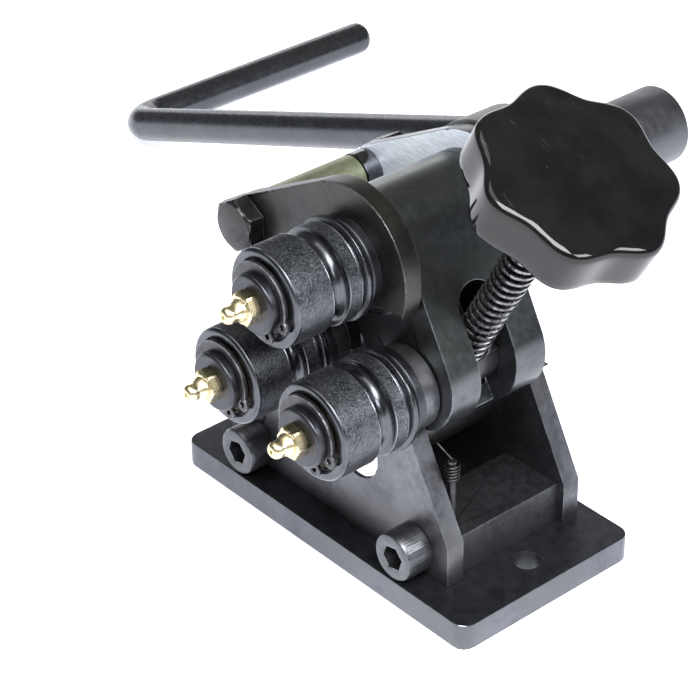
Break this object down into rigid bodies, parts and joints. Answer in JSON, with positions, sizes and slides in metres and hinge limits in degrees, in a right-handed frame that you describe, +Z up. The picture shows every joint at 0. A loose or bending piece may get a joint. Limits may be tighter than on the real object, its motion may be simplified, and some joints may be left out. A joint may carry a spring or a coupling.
{
  "type": "manual tube bender",
  "caption": "Bench-mounted hand tube bender: grooved rollers, hand crank, and a hinged arm that a star-knob screw draws down onto the tube.",
  "frame": {"origin": "centre of the base plate's underside", "axes": "+X along the base plate's long side, +Z up off the bench; the rollers stand out to -Y"},
  "size_m": [0.3038, 0.2383, 0.1352],
  "materials": {
    "frame_steel": "black-oxide steel, satin",
    "arm_steel": "black-oxide steel, satin",
    "hinge_olive": "olive zinc plating",
    "fastener_steel": "blackened, lightly oiled",
    "roller_steel": "hardened, fine knurl with polished grooves",
    "collar_steel": "ground and blackened",
    "shaft_steel": "turned and blackened",
    "ring_steel": "phosphated spring steel",
    "bronze": "sintered bronze",
    "brass": "bright turned brass",
    "crank_steel": "smooth black-oxide bar",
    "screw_steel": "oiled black thread",
    "pivot_steel": "bright ground steel",
    "spring_steel": "bright drawn wire",
    "knob_plastic": "moulded, high gloss"
  },
  "bodies": {
    "frame": {"base_plate": "frame_steel", "front_side_plate": "frame_steel", "rear_side_plate": "frame_steel", "left_spacer_bar": "frame_steel", "right_spacer_bar": "frame_steel", "frame_cap_screws": "fastener_steel", "base_screws": "fastener_steel", "hinge_post": "frame_steel", "hinge_tube": "hinge_olive", "post_screws": "fastener_steel", "left_roller_shaft": "shaft_steel", "left_thrust_collar": "collar_steel", "left_retaining_ring": "ring_steel", "left_grease_nipple": "brass", "right_roller_shaft": "shaft_steel", "right_thrust_collar": "collar_steel", "right_retaining_ring": "ring_steel", "right_grease_nipple": "brass", "spring_pin": "spring_steel", "torsion_spring": "spring_steel"},
    "arm": {"arm_front_plate": "arm_steel", "arm_rear_plate": "arm_steel", "arm_body": "arm_steel", "body_spacer": "arm_steel", "bearing_housing": "arm_steel", "housing_screws": "fastener_steel", "hinge_bolt": "fastener_steel", "hinge_nut": "fastener_steel", "hinge_collar": "arm_steel", "front_bush": "bronze", "rear_bush": "bronze", "top_thrust_collar": "collar_steel", "rear_thrust_washer": "collar_steel"},
    "drive": {"drive_shaft": "shaft_steel", "top_roller": "roller_steel", "drive_key": "shaft_steel", "top_retaining_ring": "ring_steel", "top_grease_nipple": "brass", "crank_hub": "crank_steel", "crank_rod": "crank_steel", "crank_set_screw": "fastener_steel"},
    "left_idler": {"left_roller": "roller_steel", "left_roller_bush": "bronze"},
    "right_idler": {"right_roller": "roller_steel", "right_roller_bush": "bronze"},
    "nut": {"barrel_nut": "pivot_steel"},
    "anchor": {"anchor_barrel": "pivot_steel"},
    "screw": {"adjusting_screw": "screw_steel", "screw_retainer": "ring_steel", "star_knob": "knob_plastic", "knob_insert": "pivot_steel"}
  },
  "joints": [
    {"name": "arm_hinge", "type": "hinge", "parent": "frame", "child": "arm", "pos_m": [-0.0342, 0, 0.0805], "axis": [0, 1, 0], "range_deg": [-4, 7.5]},
    {"name": "anchor_tilt", "type": "hinge", "parent": "frame", "child": "anchor", "pos_m": [0.0066, 0, 0.0313], "axis": [0, 1, 0], "range_deg": [-0.75, 1.4]},
    {"name": "knob_turn", "type": "hinge", "parent": "anchor", "child": "screw", "pos_m": [0.0066, 0, 0.0313], "axis": [0.4894, 0, 0.8721], "range_deg": [-585, 1105]},
    {"name": "nut_tilt", "type": "hinge", "parent": "arm", "child": "nut", "pos_m": [0.02131, 0, 0.05751], "axis": [0, 1, 0], "range_deg": [-6.3, 3.4]},
    {"name": "crank_turn", "type": "hinge", "parent": "arm", "child": "drive", "pos_m": [0.0041, 0, 0.085], "axis": [0, 1, 0], "continuous": true},
    {"name": "left_roller_spin", "type": "hinge", "parent": "frame", "child": "left_idler", "pos_m": [-0.0121, -0.0358, 0.0556], "axis": [0, 1, 0], "continuous": true},
    {"name": "right_roller_spin", "type": "hinge", "parent": "frame", "child": "right_idler", "pos_m": [0.0203, -0.0358, 0.0556], "axis": [0, 1, 0], "continuous": true}
  ],
  "couplings": [
    {"joint": "arm_hinge", "follows": "knob_turn", "ratio": 0.0067554},
    {"joint": "anchor_tilt", "follows": "knob_turn", "ratio": 0.0011875},
    {"joint": "nut_tilt", "follows": "knob_turn", "ratio": -0.0055679}
  ]
}
